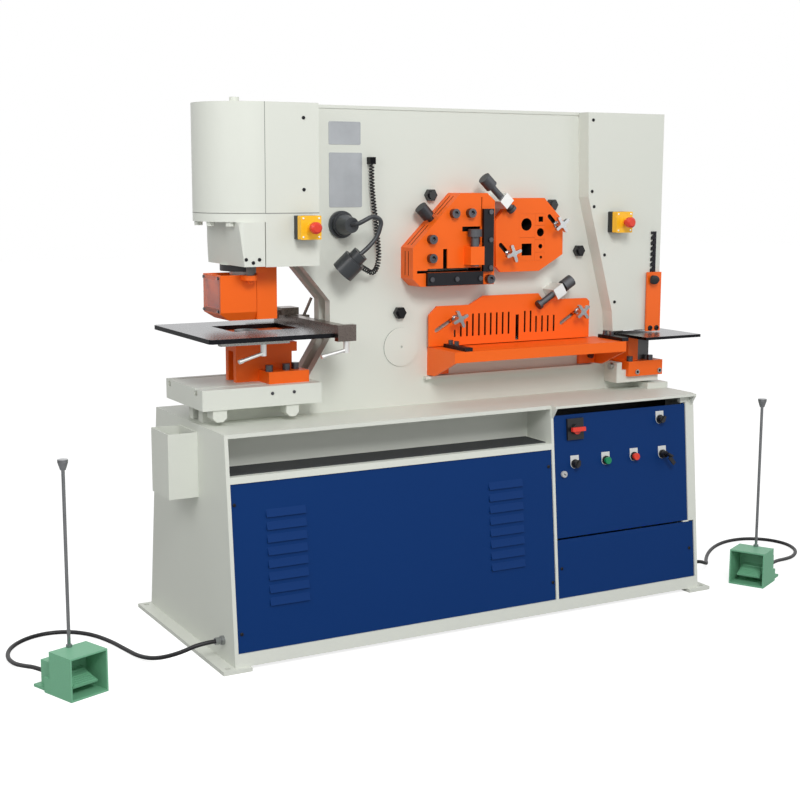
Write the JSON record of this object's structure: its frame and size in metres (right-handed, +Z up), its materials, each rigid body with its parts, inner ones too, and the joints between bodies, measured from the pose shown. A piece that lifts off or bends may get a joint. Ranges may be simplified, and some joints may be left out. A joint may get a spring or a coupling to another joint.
{
  "type": "ironworker machine",
  "caption": "Floor-standing hydraulic ironworker with punch head, angle, bar and flat shears and a notcher on a slant-sided cabinet, with corded foot switches and a work lamp.",
  "frame": {"origin": "on the floor, at the centre of the four anchor holes", "axes": "+X to the right along the front, the front faces -Y, +Z up"},
  "size_m": [3.0694, 0.8585, 1.689],
  "materials": {
    "cream_paint": "satin",
    "orange_paint": "satin",
    "blue_paint": "satin",
    "green_paint": "hammered satin",
    "dark_steel": "blackened",
    "bright_steel": "machined",
    "chrome": "polished",
    "black_plastic": "satin",
    "yellow_plastic": "semi gloss",
    "red_plastic": "gloss",
    "green_plastic": "gloss",
    "clear_plastic": "clear",
    "cable_rubber": "satin"
  },
  "bodies": {
    "machine": {"base_cabinet": "cream_paint", "front_panels": "blue_paint", "slug_box": "cream_paint", "hydraulics": "dark_steel", "control_gear": "black_plastic", "front_plate": "cream_paint", "rear_frame": "cream_paint", "punch_head_cover": "cream_paint", "punch_cylinder": "cream_paint", "stripper_bracket": "orange_paint", "bolster_block": "cream_paint", "die_holder": "orange_paint", "dies": "dark_steel", "cap_screws": "dark_steel", "pivot_nuts": "dark_steel", "punch_table": "dark_steel", "fence_rail": "dark_steel", "angle_shear_block": "orange_paint", "shear_guides": "dark_steel", "bar_shear_plate": "orange_paint", "flat_shear_guard": "orange_paint", "flat_shear_table": "orange_paint", "hold_down_brackets": "bright_steel", "notch_cover": "cream_paint", "notch_table": "dark_steel", "notch_die_holder": "orange_paint", "notch_bracket": "cream_paint", "guard_rack": "dark_steel", "estop_boxes": "yellow_plastic", "work_lamp": "black_plastic", "lamp_cord": "cable_rubber", "pedal_housings": "green_paint", "pedal_rods": "bright_steel", "pedal_cable_left": "cable_rubber", "pedal_cable_right": "cable_rubber", "cable_glands": "chrome", "star_knobs": "chrome"},
    "punch": {"punch_ram": "bright_steel", "punch_tool": "bright_steel"},
    "stripper": {"stripper": "orange_paint", "stripper_window": "clear_plastic"},
    "beam": {"moving_beam": "dark_steel"},
    "door": {"control_door": "blue_paint", "door_fittings": "black_plastic"},
    "main_switch": {"main_switch_handle": "red_plastic"},
    "selector_left": {"selector_left": "black_plastic"},
    "selector_top": {"selector_top": "black_plastic"},
    "key_switch": {"key_switch": "black_plastic"},
    "start_button": {"start_button": "green_plastic"},
    "stop_button": {"stop_button": "red_plastic"},
    "estop_left": {"estop_button_left": "red_plastic"},
    "estop_right": {"estop_button_right": "red_plastic"},
    "treadle_left": {"treadle_left": "green_paint"},
    "treadle_right": {"treadle_right": "green_paint"},
    "notch_guard": {"notch_guard": "orange_paint"},
    "table_lever": {"table_lever": "chrome"},
    "fence_lever": {"fence_lever": "chrome"},
    "angle_hold_down": {"hold_down_screw_angle": "dark_steel"},
    "bar_hold_down": {"hold_down_screw_bar": "dark_steel"},
    "flat_hold_down": {"hold_down_screw_flat": "dark_steel"}
  },
  "joints": [
    {"name": "punch_stroke", "type": "slide", "parent": "machine", "child": "punch", "axis": [0, 0, -1], "range_m": [0, 0.05]},
    {"name": "stripper_swing", "type": "hinge", "parent": "machine", "child": "stripper", "pos_m": [-0.712, -0.116, 1.14], "axis": [0, 0, 1], "range_deg": [0, 90]},
    {"name": "beam_swing", "type": "hinge", "parent": "machine", "child": "beam", "pos_m": [-0.165, -0.02, 0.899], "axis": [0, 1, 0], "range_deg": [0, 2.2]},
    {"name": "door_swing", "type": "hinge", "parent": "machine", "child": "door", "pos_m": [0.8388, -0.32632, 0.45951], "axis": [0, 0.0894, 0.996], "range_deg": [0, 100]},
    {"name": "main_switch_turn", "type": "hinge", "parent": "door", "child": "main_switch", "pos_m": [0.371, -0.31364, 0.61764], "axis": [0, -0.996, 0.0894], "range_deg": [-90, 0]},
    {"name": "selector_left_turn", "type": "hinge", "parent": "door", "child": "selector_left", "pos_m": [0.368, -0.32414, 0.50064], "axis": [0, -0.996, 0.0894], "range_deg": [-90, 0]},
    {"name": "selector_top_turn", "type": "hinge", "parent": "door", "child": "selector_top", "pos_m": [0.735, -0.31328, 0.62164], "axis": [0, -0.996, 0.0894], "range_deg": [-90, 0]},
    {"name": "key_turn", "type": "hinge", "parent": "door", "child": "key_switch", "pos_m": [0.742, -0.32423, 0.49964], "axis": [0, -0.996, 0.0894], "range_deg": [-60, 0]},
    {"name": "start_press", "type": "slide", "parent": "door", "child": "start_button", "axis": [0, 0.996, -0.0894], "range_m": [0, 0.004], "stiffness_N_per_m": 500, "springref_m": -0.002},
    {"name": "stop_press", "type": "slide", "parent": "door", "child": "stop_button", "axis": [0, 0.996, -0.0894], "range_m": [0, 0.004], "stiffness_N_per_m": 500, "springref_m": -0.002},
    {"name": "estop_left_press", "type": "slide", "parent": "machine", "child": "estop_left", "axis": [0, 1, 0], "range_m": [0, 0.005]},
    {"name": "estop_right_press", "type": "slide", "parent": "machine", "child": "estop_right", "axis": [0, 1, 0], "range_m": [0, 0.005]},
    {"name": "treadle_left_press", "type": "hinge", "parent": "machine", "child": "treadle_left", "pos_m": [-1.34859, -0.28018, 0.052], "axis": [0.9397, 0.342, 0], "range_deg": [0, 10], "stiffness_Nm_per_rad": 6, "springref_deg": -6.88},
    {"name": "treadle_right_press", "type": "hinge", "parent": "machine", "child": "treadle_right", "pos_m": [1.14606, -0.37698, 0.052], "axis": [0.4617, -0.887, 0], "range_deg": [0, 10], "stiffness_Nm_per_rad": 6, "springref_deg": -6.88},
    {"name": "notch_guard_lift", "type": "slide", "parent": "machine", "child": "notch_guard", "axis": [0, 0, 1], "range_m": [0, 0.12]},
    {"name": "table_lever_turn", "type": "hinge", "parent": "machine", "child": "table_lever", "pos_m": [-0.709, -0.203, 0.93], "axis": [0, 0, 1], "range_deg": [-60, 60]},
    {"name": "fence_lever_turn", "type": "hinge", "parent": "machine", "child": "fence_lever", "pos_m": [-0.466, -0.276, 0.93], "axis": [0, 0, 1], "range_deg": [-60, 60]},
    {"name": "angle_hold_down_feed", "type": "slide", "parent": "machine", "child": "angle_hold_down", "axis": [0, 0, -1], "range_m": [0, 0.016]},
    {"name": "bar_hold_down_feed", "type": "slide", "parent": "machine", "child": "bar_hold_down", "axis": [0.7314, 0, -0.682], "range_m": [0, 0.04]},
    {"name": "flat_hold_down_feed", "type": "slide", "parent": "machine", "child": "flat_hold_down", "axis": [0.8572, 0, 0.515], "range_m": [0, 0.04]}
  ]
}
